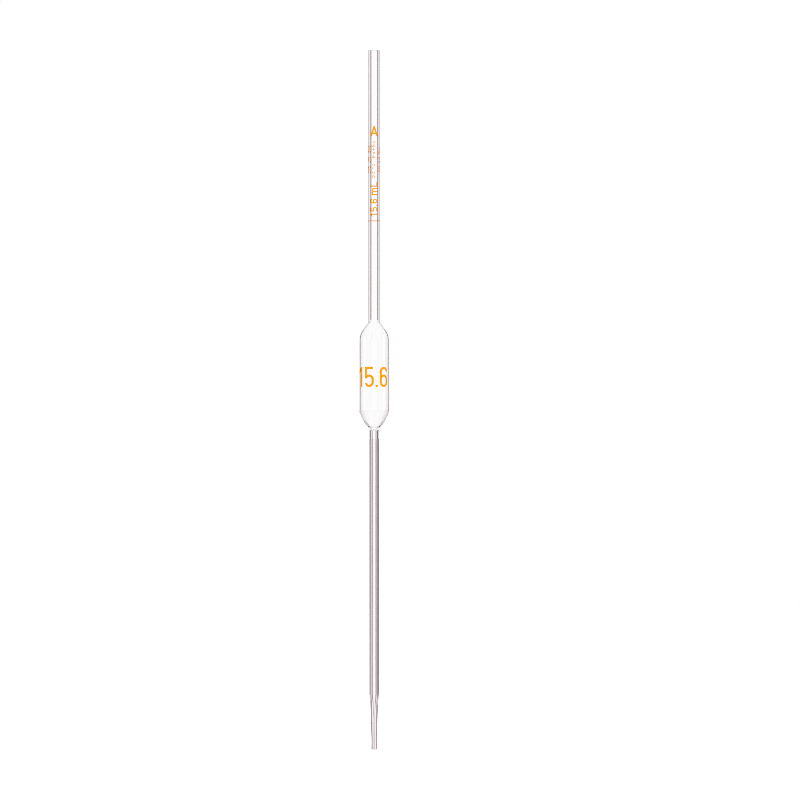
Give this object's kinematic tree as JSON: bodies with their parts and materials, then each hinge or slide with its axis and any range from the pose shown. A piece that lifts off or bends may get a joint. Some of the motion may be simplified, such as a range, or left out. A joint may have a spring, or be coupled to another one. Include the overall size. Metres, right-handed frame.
{
  "type": "volumetric pipette",
  "caption": "One-mark volumetric pipette: long glass suction tube with a ring mark, cylindrical bulb, thick-walled delivery tube and a drawn jet, with fired amber print.",
  "frame": {"origin": "centre of the jet's end face, at the lower end", "axes": "+Z along the axis from the jet to the suction end, -Y towards the face that carries the capacity print"},
  "size_m": [0.0196, 0.0196, 0.447],
  "materials": {
    "borosilicate_glass": "clear, fire-polished borosilicate tubing",
    "amber_print": "amber print fired onto the glass"
  },
  "bodies": {
    "root": {"suction_tube": "borosilicate_glass", "upper_shoulder": "borosilicate_glass", "bulb_barrel": "borosilicate_glass", "lower_shoulder": "borosilicate_glass", "lower_neck": "borosilicate_glass", "delivery_tube": "borosilicate_glass", "jet": "borosilicate_glass", "ring_mark": "amber_print", "stem_capacity_text": "amber_print", "tolerance_text": "amber_print", "temperature_text": "amber_print", "waiting_time_text": "amber_print", "class_letter": "amber_print", "maker_symbol": "amber_print", "bulb_capacity_number": "amber_print"}
  },
  "joints": []
}
